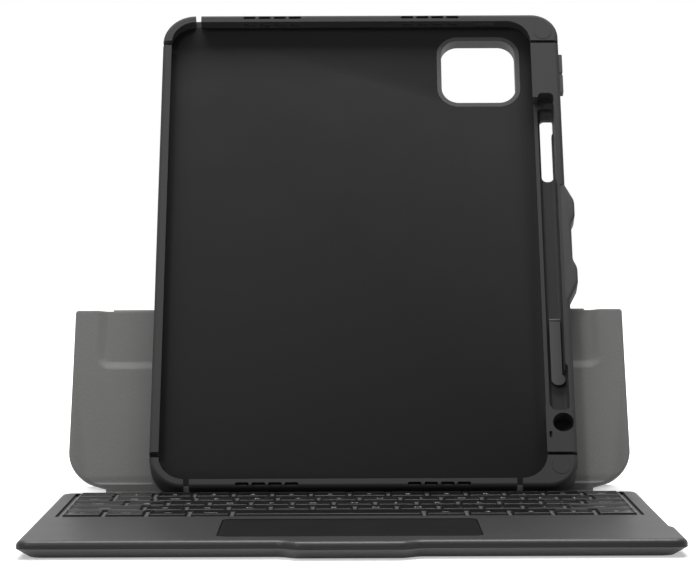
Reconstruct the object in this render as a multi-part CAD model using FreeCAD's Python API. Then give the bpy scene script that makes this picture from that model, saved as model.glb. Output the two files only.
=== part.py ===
import FreeCAD, Part
import math
import os

# Tablet keyboard case: a keyboard base, a folding back cover that makes a stand,
# and a bumper case that leans on the stand and lifts off it.
# Millimetres. Origin at the centre of the base's underside, X right, Y back, Z up.

V = FreeCAD.Vector

# Keyboard base
base_width = 260.4
base_depth = 182.0
base_height = 7.0
base_rear_radius = 6.0
base_front_radius = 6.0
seam_height = 4.2
lip_round = 2.6
seam_break = 0.4
cover_taper = 4.8
cover_taper_height = 3.6
cover_floor = 1.2
side_wall = 4.8
rear_wall = 3.0
deck_wall = 1.3
thumb_tab_width = 48.0
thumb_tab_reach = 4.8
thumb_tab_slope = 6.0
thumb_tab_round = 5.0
port_boss_reach = 1.5
port_boss_round = 3.0
port_boss_length = 47.0
port_boss_slope = 4.0

# Keys: every row starts at the left edge of the key field
key_side_margin = 8.6
key_rear_margin = 5.4
key_row_pitch = 18.07
key_row_count = 5
key_gap = 2.2
key_corner_cut = 0.8
key_edge_break = 0.4
key_dish = 0.25
key_travel = 1.2
key_hole_clearance = 0.35
tab_key_width = 17.6
caps_key_width = 24.4
enter_key_width = 20.14
left_shift_width = 33.5
modifier_width = 18.0
space_width = 81.0
number_row_count = 14
upper_letter_count = 10
upper_tail_count = 3
home_letter_count = 11
lower_letter_count = 10
modifier_count = 4
bottom_tail_count = 5
well_side_margin = 1.7
well_rear_margin = 1.0
well_front_margin = 4.0
well_corner = 1.2
plate_thickness = 0.8
plate_border = 1.0
plate_corner = 1.6
web_drop = 0.5
web_margin = 0.7

# Layers under the keys, from the base's floor up
rib_height = 0.8
rib_width = 3.0
rib_count = 5
support_thickness = 0.6
circuit_thickness = 0.4
dome_sheet_thickness = 0.4
dome_height = 0.5
dome_width = 5.0
bottoming_gap = 0.1

# Touchpad and the parts under the palm rest
touchpad_width = 104.5
touchpad_front_margin = 13.65
touchpad_corner = 4.0
touchpad_thickness = 1.1
touchpad_recess = 0.25
touchpad_clearance = 0.4
touchpad_set_back = 10.3
touchpad_travel = 0.3
bracket_thickness = 0.6
bracket_wall = 1.2
switch_radius = 3.0
battery_set_back = 2.5
battery_thickness = 2.8
battery_round = 2.0
battery_gap = 3.0
port_width = 8.9
port_height = 3.2
port_length = 7.4
port_wall = 0.3
port_clearance = 0.2
port_set_back = 24.0
port_sink = 2.0
port_level = 3.8
board_width = 11.7
tongue_width = 6.7
tongue_height = 0.7
deck_magnet_length = 40.0
deck_magnet_depth = 4.0
deck_magnet_thickness = 1.8

# Leather parts of the folding cover
strip_thickness = 1.8
strip_width = 223.0
fold_gap = 0.3
panel_width = 256.8
panel_lower_radius = 17.0
panel_corner = 1.5
panel_neck = 6.4
panel_top = 98.0
skin_thickness = 1.0
card_thickness = 1.0
lining_thickness = 1.4
card_border = 2.6
panel_edge_round = 0.6
emboss_width = 243.0
emboss_height = 30.4
emboss_depth = 0.9
emboss_slope = 5.0
emboss_corner = 4.0
fold_roll_radius = 0.9
fold_axis_rise = 0.95
fold_axis_offset = 0.15
leg_length = 92.8
leg_corner = 10.0
leg_start = 1.2
leg_edge_round = 0.8
panel_magnet_length = 46.0
panel_magnet_width = 10.0
panel_magnet_thickness = 0.9
panel_magnet_height = 46.0
panel_magnet_spread = 106.0

# Stand
lean_angle = 30.5
case_seat = 1.4
deck_clearance = 1.6
case_back_gap = 0.3
case_shift = 1.6

# Bumper case; the device lies in the bay and stops under the lip
device_width = 177.5
device_height = 249.7
device_thickness = 5.3
device_clearance = 0.5
bay_radius = 12.5
bumper_wall = 3.7
lip_overhang = 0.6
lip_thickness = 1.0
bumper_radius = 16.0
holder_radius = 13.0
holder_width = 13.1
front_round = 2.0
back_round = 1.2
outer_panel_thickness = 1.4
outer_panel_rim = 2.0
inner_panel_thickness = 1.6
pad_thickness = 0.3
magnet_space = 2.2
panel_fit = 0.1
case_magnet_width = 44.0
case_magnet_height = 60.0
case_magnet_thickness = 2.0
case_magnet_rise = 62.0
case_magnet_spread = 72.0
camera_window = 36.4
camera_window_corner = 8.5
camera_guard_wall = 2.2
camera_guard_stand = 1.0
camera_side_inset = 26.0
camera_top_inset = 26.0

# Slits and ports in the rim
slit_width = 2.7
holder_slit_width = 1.6
holder_slit_depth = 3.0
slit_inset_side = 13.0
slit_inset_end = 12.4
speaker_count = 4
speaker_length = 6.2
speaker_height = 1.5
speaker_pitch = 7.5
speaker_start = 24.8
speaker_depth = 4.6
speaker_duct_height = 1.6

# Buttons
button_clearance = 0.3
button_travel = 0.5
button_round = 0.5
power_length = 9.4
power_height = 2.6
power_position = 65.9
power_stand = 0.7
volume_length = 10.1
volume_height = 3.8
volume_gap = 1.7
volume_stand = 1.7
volume_cap = 3.0
volume_stem_length = 6.0
volume_stem_height = 2.4
volume_wall = 1.5

# Pencil holder
channel_low = 34.3
channel_top_inset = 42.5
channel_wall = 3.6
channel_floor = 2.3
channel_partition = 1.8
channel_end_round = 2.5
channel_side_round = 1.6
foot_wall = 2.5
foot_length = 24.4
ledge_length = 6.0
ledge_rise = 2.7
window_top_inset = 9.85
window_length = 35.4
window_inset = 1.1
window_width = 5.65
window_corner = 2.4
window_step = 0.7
window_step_length = 8.7
window_step_round = 0.8
tip_hole_radius = 4.8
tip_hole_height = 28.2
tip_hole_wall = 1.0
notch_height = 22.1
notch_width = 1.4
notch_length = 3.2
notch_depth = 1.5
lower_disc_radius = 4.3
lower_disc_height = 6.5
upper_disc_radius = 4.2
upper_disc_inset = 6.6
disc_side_inset = 7.5
disc_depth = 1.2
disc_stand = 0.1
grip_low = 92.8
grip_length = 62.4
grip_seat = 2.4
grip_swell = 4.2
grip_waist = 2.2
grip_ramp = 8.6
grip_crest = 8.6
grip_step = 4.4
grip_round = 5.0
grip_back = 2.4
grip_front = 10.8
grip_chamfer = 0.9
tab_low = 50.9
tab_high = 85.0
tab_inset = 1.5
tab_width = 5.1
tab_bulb_width = 6.4
tab_bulb_length = 4.6
tab_bulb_slope = 1.6
tab_end_round = 3.0
tab_neck_round = 0.8
tab_thickness = 1.6
tab_roll_radius = 1.0
tab_clearance = 0.3

# Places worked out from the sizes above
base_rear = base_depth / 2
base_front = -base_depth / 2
half_base = base_width / 2
deck_inside = base_height - deck_wall
half_strip = strip_thickness / 2
key_field_width = base_width - 2 * key_side_margin
half_field = key_field_width / 2
key_pitch = (key_field_width - caps_key_width - enter_key_width) / home_letter_count
key_rear = base_rear - key_rear_margin
key_front = key_rear - key_row_count * key_row_pitch + key_gap
well_rear = key_rear + well_rear_margin
well_front = key_front - well_front_margin
half_well = half_field + well_side_margin
support_low = cover_floor + rib_height
circuit_low = support_low + support_thickness
dome_low = circuit_low + circuit_thickness
dome_top = dome_low + dome_sheet_thickness + dome_height
key_bottom = dome_top + bottoming_gap + key_travel
touchpad_rear = well_front - touchpad_set_back
touchpad_front = base_front + touchpad_front_margin
touchpad_depth = touchpad_rear - touchpad_front
touchpad_bottom = base_height - touchpad_recess - touchpad_thickness

lean = math.radians(lean_angle)
panel_turn = 90.0 - lean_angle
spine_axis_y = base_rear + fold_gap + half_strip
trough_depth = (math.cos(lean) * (base_height - half_strip) - case_seat + deck_clearance) / math.sin(lean)
panel_axis_y = base_rear + trough_depth
panel_thickness = skin_thickness + card_thickness + lining_thickness
panel_front = panel_thickness / 2
panel_back = -panel_thickness / 2
fold_axis_height = panel_top + fold_axis_rise
fold_axis_depth = panel_back - fold_axis_offset

bay_left = -device_width / 2 - device_clearance
bay_right = device_width / 2 + device_clearance
bay_low = -device_clearance
bay_high = device_height + device_clearance
pad_top = outer_panel_thickness + magnet_space + inner_panel_thickness + pad_thickness
lip_bottom = pad_top + device_thickness
case_thickness = lip_bottom + lip_thickness
case_left = bay_left - bumper_wall
case_right = bay_right + holder_width
case_low = bay_low - bumper_wall
case_high = bay_high + bumper_wall
channel_right = case_right - channel_wall
channel_left = bay_right + channel_partition
channel_high = device_height - channel_top_inset
window_high = channel_high - window_top_inset
grip_high = grip_low + grip_length
device_middle = pad_top + device_thickness / 2


def rounded_outline(corners):
    """A closed flat wire through corners (x, y, radius), each turned with its own radius."""
    turns = []
    for index, (x, y, radius) in enumerate(corners):
        here = V(x, y, 0)
        following = corners[(index + 1) % len(corners)]
        before = V(corners[index - 1][0], corners[index - 1][1], 0) - here
        after = V(following[0], following[1], 0) - here
        before.normalize()
        after.normalize()
        half_turn = before.getAngle(after) / 2
        inward = before + after
        inward.normalize()
        reach = radius / math.tan(half_turn)
        middle = here + inward * (radius / math.sin(half_turn) - radius)
        turns.append((here + before * reach, middle, here + after * reach))
    edges = []
    for index, (start, middle, end) in enumerate(turns):
        last_end = turns[index - 1][2]
        if last_end.distanceToPoint(start) > 1e-6:
            edges.append(Part.LineSegment(last_end, start).toShape())
        if start.distanceToPoint(end) > 1e-6:
            edges.append(Part.Arc(start, middle, end).toShape())
    return Part.Wire(edges)


def plate(corners, low, high):
    """The outline through corners, raised from low to high."""
    face = Part.Face(rounded_outline(corners))
    face.translate(V(0, 0, low))
    return face.extrude(V(0, 0, high - low))


def tapered(low_corners, high_corners, low, high):
    """A solid that runs straight from one outline up to another."""
    ends = []
    for corners, height in ((low_corners, low), (high_corners, high)):
        end = rounded_outline(corners)
        end.translate(V(0, 0, height))
        ends.append(end)
    return Part.makeLoft(ends, True, True)


def rectangle(left, front, right, back, radius=0.0):
    return [(left, front, radius), (right, front, radius), (right, back, radius), (left, back, radius)]


def cut_rectangle(left, front, right, back, cut):
    """A rectangle with its corners cut off."""
    front_end = [(left + cut, front, 0.0), (right - cut, front, 0.0)]
    right_end = [(right, front + cut, 0.0), (right, back - cut, 0.0)]
    back_end = [(right - cut, back, 0.0), (left + cut, back, 0.0)]
    left_end = [(left, back - cut, 0.0), (left, front + cut, 0.0)]
    return front_end + right_end + back_end + left_end


def slab(left, front, right, back, low, high, radius=0.0):
    return plate(rectangle(left, front, right, back, radius), low, high)


def block(low_corner, high_corner):
    size = V(*high_corner) - V(*low_corner)
    return Part.makeBox(size.x, size.y, size.z, V(*low_corner))


def rim_edges(shape, height):
    """The edges that lie flat at one height."""
    return [
        edge
        for edge in shape.Edges
        if abs(edge.BoundBox.ZMin - height) < 1e-4 and abs(edge.BoundBox.ZMax - height) < 1e-4
    ]


def rounded_end(shape, direction, radius):
    """Rounds the edges of the flat face that ends a piece in one direction."""
    ends = [face for face in shape.Faces if face.normalAt(0, 0).getAngle(direction) < 1e-4]
    outermost = max(ends, key=lambda face: face.CenterOfMass.dot(direction))
    return shape.makeFillet(radius, outermost.Edges)


def on_panel(shape):
    """Moves a piece from the leaning panel's frame to the part's frame."""
    turn = FreeCAD.Rotation(V(1, 0, 0), panel_turn)
    moved = shape.copy()
    moved.Placement = FreeCAD.Placement(V(0, panel_axis_y, half_strip), turn).multiply(moved.Placement)
    return moved


def on_leg(shape):
    """Moves a piece from the rear leg's frame, whose origin is on the fold, to the part's frame."""
    turn = FreeCAD.Rotation(V(1, 0, 0), leg_turn())
    moved = shape.copy()
    moved.Placement = FreeCAD.Placement(fold_axis_point(), turn).multiply(moved.Placement)
    return moved


def on_case(shape):
    """Moves a piece from the bumper case's frame (device's lower edge, case's back) to the part's frame."""
    lifted = shape.copy()
    rise = case_seat - case_low
    lifted.translate(V(case_shift, rise, panel_front + case_back_gap))
    return on_panel(lifted)


def fold_axis_point():
    up = fold_axis_height
    out = fold_axis_depth
    y = panel_axis_y + up * math.sin(lean) - out * math.cos(lean)
    z = half_strip + up * math.cos(lean) + out * math.sin(lean)
    return V(0, y, z)


def leg_turn():
    """The leg's turn about X that sets its rounded foot on the table."""
    along = leg_length - leg_edge_round
    across = fold_axis_offset + leg_edge_round
    drop = fold_axis_point().z - leg_edge_round
    swing = math.acos(drop / math.hypot(along, across)) - math.atan2(across, along)
    return math.degrees(swing) - 90.0


# Keyboard base

def base_outline(inset=0.0):
    """The base seen from above, with its thumb tab in front and the port boss on the right."""
    half = half_base - inset
    front = base_front + inset
    half_tab = thumb_tab_width / 2
    tab_front = front - thumb_tab_reach
    boss_right = half + port_boss_reach
    boss_rear = base_front + port_boss_length
    return [
        (-half, base_rear, base_rear_radius),
        (-half, front, base_front_radius),
        (-half_tab - thumb_tab_slope / 2, front, thumb_tab_round),
        (-half_tab + thumb_tab_slope / 2, tab_front, thumb_tab_round),
        (half_tab - thumb_tab_slope / 2, tab_front, thumb_tab_round),
        (half_tab + thumb_tab_slope / 2, front, thumb_tab_round),
        (boss_right, front, base_front_radius),
        (boss_right, boss_rear - port_boss_slope, port_boss_round),
        (half, boss_rear, port_boss_round),
        (half, base_rear, base_rear_radius),
    ]


def base_hollow(low, high):
    left = -half_base + side_wall
    corner = base_rear_radius - rear_wall
    return slab(left, base_front + side_wall, -left, base_rear - rear_wall, low, high, corner)


def port_passage():
    """The way through the side wall for the port."""
    start = half_base - side_wall - 1
    return port_tunnel(port_clearance, start, half_base + port_boss_reach + 1)


def port_tunnel(clearance, start, end):
    """An obround along X at the port's place."""
    half_height = port_height / 2 + clearance
    half_width = port_width / 2 + clearance
    outline = rectangle(-half_width, -half_height, half_width, half_height, half_height)
    tunnel = plate(outline, start, end)
    tunnel.rotate(V(0, 0, 0), V(1, 1, 1), 120)
    tunnel.translate(V(0, base_front + port_set_back, port_level))
    return tunnel


def bottom_cover():
    """The lower tray: its front and sides draw in towards the table, and its rim is broken at the seam."""
    cover = tapered(base_outline(cover_taper), base_outline(), 0, cover_taper_height)
    cover = cover.fuse(plate(base_outline(), cover_taper_height, seam_height)).removeSplitter()
    cover = cover.makeChamfer(seam_break, rim_edges(cover, seam_height))
    cover = cover.cut(base_hollow(cover_floor, seam_height + 1))
    cover = cover.cut(port_passage())
    spacing = (key_rear - key_front) / (rib_count - 1)
    for index in range(rib_count):
        middle = key_front + index * spacing
        front = max(middle - rib_width / 2, key_front)
        back = min(front + rib_width, key_rear)
        cover = cover.fuse(block((-half_field, front, cover_floor), (half_field, back, support_low)))
    return cover.removeSplitter()


def deck_shell():
    shell = plate(base_outline(), seam_height, base_height)
    shell = shell.makeFillet(lip_round, rim_edges(shell, base_height))
    shell = shell.cut(base_hollow(seam_height - 1, deck_inside))
    well = slab(-half_well, well_front, half_well, well_rear, deck_inside - 1, base_height + 1, well_corner)
    shell = shell.cut(well)
    shell = shell.cut(touchpad_plan(touchpad_clearance, deck_inside - 1, base_height + 1))
    return shell.cut(port_passage())


def touchpad_plan(clearance, low, high):
    half = touchpad_width / 2 + clearance
    radius = touchpad_corner + clearance
    return slab(-half, touchpad_front - clearance, half, touchpad_rear + clearance, low, high, radius)


def key_row_front(row):
    return key_rear - (row + 1) * key_row_pitch + key_gap


def row_widths(set_widths, tail_count):
    """Widths of a row's places: those that are set, and tail keys that share what is left."""
    left_over = key_field_width - sum(set_widths)
    return set_widths + [left_over / tail_count] * tail_count


def key_places():
    """Each row as a list of (left, right) of its keys."""
    rows = [
        row_widths([], number_row_count),
        row_widths([tab_key_width] + [key_pitch] * upper_letter_count, upper_tail_count),
        row_widths([caps_key_width] + [key_pitch] * home_letter_count, 1),
        row_widths([left_shift_width] + [key_pitch] * lower_letter_count, 1),
        row_widths([modifier_width] * modifier_count + [space_width], bottom_tail_count),
    ]
    places = []
    for widths in rows:
        left = -half_field
        row = []
        for width in widths:
            row.append((left + key_gap / 2, left + width - key_gap / 2))
            left += width
        places.append(row)
    return places


def key_cap(row, left, right):
    """A cap with broken edges and a shallow dish from its front to its back."""
    front = key_row_front(row)
    depth = key_row_pitch - key_gap
    plan = cut_rectangle(left, front, right, front + depth, key_corner_cut)
    cap = plate(plan, key_bottom, base_height)
    cap = cap.makeChamfer(key_edge_break, rim_edges(cap, base_height))
    half_dish = depth / 2 - key_edge_break
    dish_radius = (half_dish ** 2 + key_dish ** 2) / (2 * key_dish)
    dish_start = V(left, front + depth / 2, base_height + dish_radius - key_dish)
    return cap.cut(Part.makeCylinder(dish_radius, right - left, dish_start, V(1, 0, 0)))


def key_nodes():
    """Rows of keys, with the wide keys at their ends and the space bar apart."""
    places = key_places()
    names = ["number_row_keys", "upper_row_keys", "home_row_keys", "lower_row_keys", "bottom_row_keys"]
    single = {
        (1, 0): "tab_key",
        (2, 0): "caps_key",
        (2, len(places[2]) - 1): "enter_key",
        (3, 0): "left_shift_key",
        (3, len(places[3]) - 1): "right_shift_key",
        (4, modifier_count): "space_bar",
    }
    nodes = {}
    for row, keys in enumerate(places):
        for index, (left, right) in enumerate(keys):
            name = single.get((row, index), names[row])
            nodes.setdefault(name, []).append(key_cap(row, left, right))
    return {name: Part.makeCompound(caps) for name, caps in nodes.items()}


def keyboard_plate():
    """A plate under the deck, with the raised web that shows between the keys."""
    side = half_well + plate_border
    front = well_front - plate_border
    back = well_rear + plate_border
    low = deck_inside - plate_thickness
    flange = slab(-side, front, side, back, low, deck_inside, plate_corner)
    web_front = key_front - web_margin
    web_back = key_rear + web_margin
    web = block((-half_field, web_front, low), (half_field, web_back, base_height - web_drop))
    grille = flange.fuse(web)
    holes = []
    for row, keys in enumerate(key_places()):
        front = key_row_front(row) - key_hole_clearance
        back = key_row_front(row) + key_row_pitch - key_gap + key_hole_clearance
        for left, right in keys:
            low_corner = (left - key_hole_clearance, front, low - 1)
            holes.append(block(low_corner, (right + key_hole_clearance, back, base_height)))
    return grille.cut(holes).removeSplitter()


def key_layer(low, thickness):
    return block((-half_field, key_front, low), (half_field, key_rear, low + thickness))


def dome_sheet():
    """A rubber sheet with one low square spring under the middle of each key."""
    sheet = key_layer(dome_low, dome_sheet_thickness)
    half = dome_width / 2
    domes = []
    for row, keys in enumerate(key_places()):
        middle_y = key_row_front(row) + (key_row_pitch - key_gap) / 2
        for left, right in keys:
            middle_x = (left + right) / 2
            foot = (middle_x - half, middle_y - half, dome_low + dome_sheet_thickness)
            domes.append(block(foot, (middle_x + half, middle_y + half, dome_top)))
    return sheet.fuse(domes)


def touchpad_bracket():
    """A shallow pan under the touchpad, hung from the deck's underside."""
    inside = touchpad_clearance + bracket_wall
    floor_top = touchpad_bottom - touchpad_travel - dome_height
    pan = touchpad_plan(inside + bracket_wall, floor_top - bracket_thickness, deck_inside)
    return pan.cut(touchpad_plan(inside, floor_top, deck_inside + 1))


def touchpad_switch():
    floor_top = touchpad_bottom - touchpad_travel - dome_height
    foot = V(0, touchpad_front + touchpad_depth / 4, floor_top)
    return Part.makeCylinder(switch_radius, dome_height - bottoming_gap, foot)


def battery_inner():
    return touchpad_width / 2 + touchpad_clearance + 2 * bracket_wall + battery_gap


def battery_outer():
    """The cells leave room for the board beside the wall, on both sides alike."""
    return half_base - side_wall - board_width - battery_gap


def batteries():
    """Two flat cells on the floor, one each side of the touchpad."""
    back = touchpad_rear - battery_set_back
    top = cover_floor + battery_thickness
    cells = {}
    for name, left in (("battery_left", -battery_outer()), ("battery_right", battery_inner())):
        right = left + battery_outer() - battery_inner()
        cells[name] = slab(left, touchpad_front, right, back, cover_floor, top, battery_round)
    return cells


def main_board():
    """A narrow board between the right cell and the side wall; the port is soldered on it."""
    right = half_base - side_wall - battery_gap / 2
    front = base_front + port_set_back - port_width
    high_corner = (right, touchpad_rear, port_level - port_height / 2)
    return block((right - board_width, front, cover_floor), high_corner)


def charge_port():
    mouth = half_base + port_boss_reach - port_sink
    inner_end = mouth - port_length
    shell = port_tunnel(0, inner_end, mouth)
    shell = shell.cut(port_tunnel(-port_wall, inner_end + port_wall, mouth + 1))
    middle = base_front + port_set_back
    tongue = block(
        (inner_end + port_wall, middle - tongue_width / 2, port_level - tongue_height / 2),
        (mouth - 1, middle + tongue_width / 2, port_level + tongue_height / 2),
    )
    return shell.fuse(tongue)


def deck_magnets():
    """Bars behind the front lip that hold the closed cover."""
    front = base_front + side_wall
    back = front + deck_magnet_depth
    top = cover_floor + deck_magnet_thickness
    bars = []
    for side in (-1, 1):
        left = side * (thumb_tab_width + deck_magnet_length) / 2 - deck_magnet_length / 2
        bars.append(block((left, front, cover_floor), (left + deck_magnet_length, back, top)))
    return Part.makeCompound(bars)


# Folding cover

def spine_strip():
    """The leather that lies on the table behind the base, rounded where it folds at the base."""
    half = strip_width / 2
    back = panel_axis_y - half_strip - fold_gap
    strip = block((-half, spine_axis_y, 0), (half, back, strip_thickness))
    roll = Part.makeCylinder(half_strip, strip_width, V(-half, spine_axis_y, half_strip), V(1, 0, 0))
    return strip.fuse(roll).removeSplitter()


def lower_panel_corners(inset=0.0):
    half = panel_width / 2 - inset
    low = panel_neck + inset
    high = panel_top - inset
    lower = panel_lower_radius - inset
    upper = max(panel_corner - inset, 0)
    return [(-half, low, lower), (half, low, lower), (half, high, upper), (-half, high, upper)]


def upper_panel_corners(inset=0.0):
    half = panel_width / 2 - inset
    near = leg_start + inset
    far = leg_length - inset
    corner = leg_corner - inset
    upper = max(panel_corner - inset, 0)
    return [(-half, near, upper), (half, near, upper), (half, far, corner), (-half, far, corner)]


def magnet_bars(low, high, clearance=0.0):
    """The two magnet bars in a panel, a set way from its crease."""
    bottom = panel_magnet_height - clearance
    top = panel_magnet_height + panel_magnet_width + clearance
    bars = []
    for side in (-1, 1):
        left = side * panel_magnet_spread / 2 - panel_magnet_length / 2
        right = left + panel_magnet_length
        bars.append(block((left - clearance, bottom, low), (right + clearance, top, high)))
    return Part.makeCompound(bars)


def cover_panel(corners, card_corners, back):
    """Skin, card, lining and magnets of one panel, with its skin's outer face at back."""
    card_low = back + skin_thickness
    card_high = card_low + card_thickness
    card = plate(card_corners, card_low, card_high)
    skin = plate(corners, back, card_high)
    skin = skin.makeFillet(leg_edge_round, rim_edges(skin, back)).cut(card)
    card = card.cut(magnet_bars(card_low - 1, card_high + 1, panel_fit))
    magnets = magnet_bars(card_low, card_low + panel_magnet_thickness)
    lining = plate(corners, card_high, card_high + lining_thickness)
    lining = lining.makeFillet(panel_edge_round, rim_edges(lining, card_high + lining_thickness))
    return skin, card, lining, magnets


def emboss(edge_low, edge_high, lining_top):
    """The sunk field beside the fold, with sloped borders, cut into a lining's face."""
    half = emboss_width / 2
    outlines = []
    for inset in (emboss_slope, -emboss_slope):
        outlines.append(rectangle(-half + inset, edge_low + inset, half - inset, edge_high - inset, emboss_corner))
    return tapered(outlines[0], outlines[1], lining_top - emboss_depth, lining_top + emboss_depth)


def lower_panel():
    corners = lower_panel_corners()
    skin, card, lining, magnets = cover_panel(corners, lower_panel_corners(card_border), panel_back)
    half = strip_width / 2
    neck = block((-half, 0, -half_strip), (half, panel_neck + card_border / 2, half_strip))
    roll = Part.makeCylinder(half_strip, strip_width, V(-half, 0, 0), V(1, 0, 0))
    neck = neck.fuse(roll)
    skin = skin.fuse(neck.cut(lining)).removeSplitter()
    open_edge = panel_top + emboss_corner + emboss_slope
    lining = lining.cut(emboss(panel_top - emboss_height, open_edge, panel_front))
    fold_start = V(-half, fold_axis_height, fold_axis_depth)
    fold = Part.makeCylinder(fold_roll_radius, strip_width, fold_start, V(1, 0, 0))
    pieces = {
        "lower_panel_skin": skin,
        "lower_panel_card": card,
        "lower_panel_lining": lining,
        "lower_panel_magnets": magnets,
        "fold_roll": fold,
    }
    return {name: on_panel(shape) for name, shape in pieces.items()}


def upper_panel():
    corners = upper_panel_corners()
    skin, card, lining, magnets = cover_panel(corners, upper_panel_corners(card_border), fold_axis_offset)
    lining_top = fold_axis_offset + panel_thickness
    open_edge = leg_start - emboss_corner - emboss_slope
    lining = lining.cut(emboss(open_edge, leg_start + emboss_height, lining_top))
    pieces = {
        "upper_panel_skin": skin,
        "upper_panel_card": card,
        "upper_panel_lining": lining,
        "upper_panel_magnets": magnets,
    }
    return {name: on_leg(shape) for name, shape in pieces.items()}


# Bumper case, in its own frame: X across, Y up from the device's lower edge, Z from the back to the front

def bay_corners(inset=0.0):
    radius = bay_radius - inset
    return rectangle(bay_left + inset, bay_low + inset, bay_right - inset, bay_high - inset, radius)


def bumper_body():
    corners = [
        (case_left, case_low, bumper_radius),
        (case_right, case_low, holder_radius),
        (case_right, case_high, holder_radius),
        (case_left, case_high, bumper_radius),
    ]
    body = plate(corners, 0, case_thickness)
    body = body.makeFillet(front_round, rim_edges(body, case_thickness))
    body = body.makeFillet(back_round, rim_edges(body, 0))
    body = body.cut(plate(bay_corners(), -1, lip_bottom))
    return body.cut(plate(bay_corners(lip_overhang), lip_bottom - 1, case_thickness + 1))


def rim_slits():
    """Narrow cuts beside the corners that let the rim stretch over the device."""
    half = slit_width / 2
    top = case_thickness + 1
    left = -device_width / 2 + slit_inset_side
    low = slit_inset_end
    high = device_height - slit_inset_end
    cuts = []
    for x in (left, -left):
        cuts.append(block((x - half, case_low - 1, pad_top), (x + half, bay_low + 1, top)))
    cuts.append(block((left - half, bay_high - 1, pad_top), (left + half, case_high + 1, top)))
    for y in (low, high):
        cuts.append(block((case_left - 1, y - half, pad_top), (bay_left + 1, y + half, top)))
        groove = holder_slit_width / 2
        floor = case_thickness - holder_slit_depth
        cuts.append(block((bay_right - 1, y - groove, floor), (case_right + 1, y + groove, top)))
    return cuts


def speaker_slots():
    """Rounded slots in the rim's face, each with a duct from the bay."""
    half = speaker_height / 2
    floor = case_thickness - speaker_depth
    cuts = []
    for outer, inner, inward in ((case_low, bay_low, 1), (case_high, bay_high, -1)):
        middle = (outer + inner) / 2
        duct_low, duct_high = sorted((middle, inner + inward))
        for side in (-1, 1):
            for index in range(speaker_count):
                centre = side * (speaker_start + index * speaker_pitch + speaker_length / 2)
                left = centre - speaker_length / 2
                right = centre + speaker_length / 2
                cuts.append(slab(left, middle - half, right, middle + half, floor, case_thickness + 1, half))
                duct_top = floor + speaker_duct_height
                cuts.append(block((left + half, duct_low, floor), (right - half, duct_high, duct_top)))
    return cuts


def trough(low, high, right):
    """A length of the channel, its floor rounded up into the outer wall."""
    cut = slab(channel_left, low, right, high, channel_floor, case_thickness + 1, channel_end_round)
    straight = right - channel_end_round / 2
    side = [edge for edge in rim_edges(cut, channel_floor) if edge.BoundBox.XMin > straight]
    return cut.makeFillet(channel_side_round, side)


def channel_window():
    """The opening in the channel's floor, wider over its upper end."""
    left = channel_left + window_inset
    right = left + window_width
    low = window_high - window_length
    step = window_high - window_step_length
    corners = [
        (left, low, window_corner),
        (right, low, window_corner),
        (right, step, window_step_round),
        (right + window_step, step + window_step, window_step_round),
        (right + window_step, window_high, window_step_round),
        (left, window_high, window_corner),
    ]
    return plate(corners, -1, channel_floor + channel_side_round)


def pencil_channel():
    """The long open channel with its wide foot, its ledge, its window and the way to the device's edge."""
    top = case_thickness + 1
    ledge_start = channel_high - ledge_length
    main = trough(channel_low, ledge_start + 1, channel_right)
    foot = trough(channel_low, channel_low + foot_length, case_right - foot_wall)
    upper = slab(channel_left, ledge_start - 1, channel_right, channel_high,
                 channel_floor + ledge_rise, top, channel_end_round)
    mouth = block((bay_right - lip_overhang - 1, channel_low + channel_end_round, pad_top),
                  (channel_left + channel_end_round, channel_high - channel_end_round, top))
    return [main, foot, upper, mouth, channel_window()]


def tip_hole():
    x = case_right - tip_hole_wall - tip_hole_radius
    return Part.makeCylinder(tip_hole_radius, case_thickness, V(x, tip_hole_height, channel_floor))


def notch():
    left = bay_right + lip_overhang
    return slab(left, notch_height - notch_length / 2, left + notch_width, notch_height + notch_length / 2,
                case_thickness - notch_depth, case_thickness + 1, notch_width / 2)


def disc_places():
    """Centre and radius of the round discs in the holder's corners."""
    x = case_right - disc_side_inset
    yield V(x, lower_disc_height, 0), lower_disc_radius
    yield V(x, device_height - upper_disc_inset, 0), upper_disc_radius


def discs(clearance, low, high):
    return [
        Part.makeCylinder(radius + clearance, high - low, V(centre.x, centre.y, low))
        for centre, radius in disc_places()
    ]


def grip_low_face():
    return case_right - grip_seat


def side_grip_seat():
    return block((grip_low_face(), grip_low, grip_back), (case_right + 1, grip_high, case_thickness + 1))


def side_grip():
    """A finger grip on the holder's side: two swells with a waist between them."""
    face = case_right
    first_crest = grip_ramp + grip_crest
    rise = [
        (face + grip_swell, grip_ramp, grip_round),
        (face + grip_swell, first_crest, grip_round),
        (face + grip_waist, first_crest + grip_step, grip_round),
    ]
    corners = [(grip_low_face(), grip_low, 0), (face, grip_low, 0)]
    corners += [(x, grip_low + along, radius) for x, along, radius in rise]
    corners += [(x, grip_high - along, radius) for x, along, radius in reversed(rise)]
    corners += [(face, grip_high, 0), (grip_low_face(), grip_high, 0)]
    grip = plate(corners, grip_back, grip_front)
    wave = [edge for edge in rim_edges(grip, grip_front) if edge.BoundBox.XMax > face + 1e-4]
    return grip.makeChamfer(grip_chamfer, wave)


def power_block(clearance, inner, outer):
    half = power_length / 2 + clearance
    half_height = power_height / 2 + clearance
    low_corner = (power_position - half, inner, device_middle - half_height)
    return block(low_corner, (power_position + half, outer, device_middle + half_height))


def power_button():
    return rounded_end(power_block(0, bay_high, case_high + power_stand), V(0, 1, 0), button_round)


def power_passage():
    return power_block(button_clearance, bay_high - 1, case_high + 1)


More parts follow.
